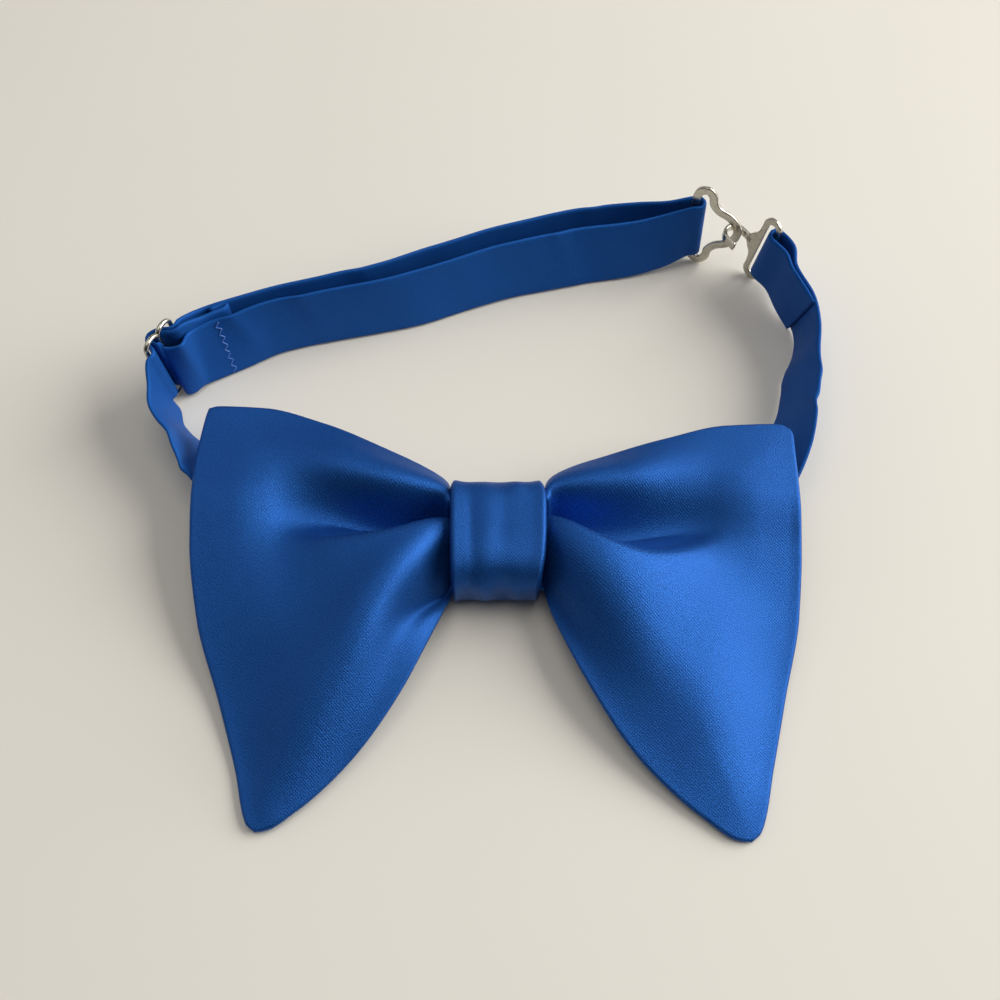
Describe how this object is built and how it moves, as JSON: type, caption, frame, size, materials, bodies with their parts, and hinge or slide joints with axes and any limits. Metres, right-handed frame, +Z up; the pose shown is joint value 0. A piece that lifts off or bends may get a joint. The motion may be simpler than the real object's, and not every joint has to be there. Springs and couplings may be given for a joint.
{
  "type": "pre-tied bow tie",
  "caption": "Large drooping pre-tied bow of padded satin with a knot wrap, on an adjustable neckband that a flat hook and eye close behind the neck.",
  "frame": {"origin": "centre of the knot's flat underside, on the surface that the bow tie lies on", "axes": "+Z up from the surface, +X along the bow towards its right wing as seen from the front, +Y from the bow towards the neck loop"},
  "size_m": [0.1743, 0.1699, 0.0269],
  "materials": {
    "bow": "satin",
    "knot_wrap": "satin",
    "neckband": "satin",
    "slider": "polished wire",
    "eye": "satin nickel",
    "hook": "satin nickel"
  },
  "bodies": {
    "root": {"bow": "bow", "knot_wrap": "knot_wrap", "neckband": "neckband", "slider": "slider", "eye": "eye", "hook": "hook"}
  },
  "joints": []
}
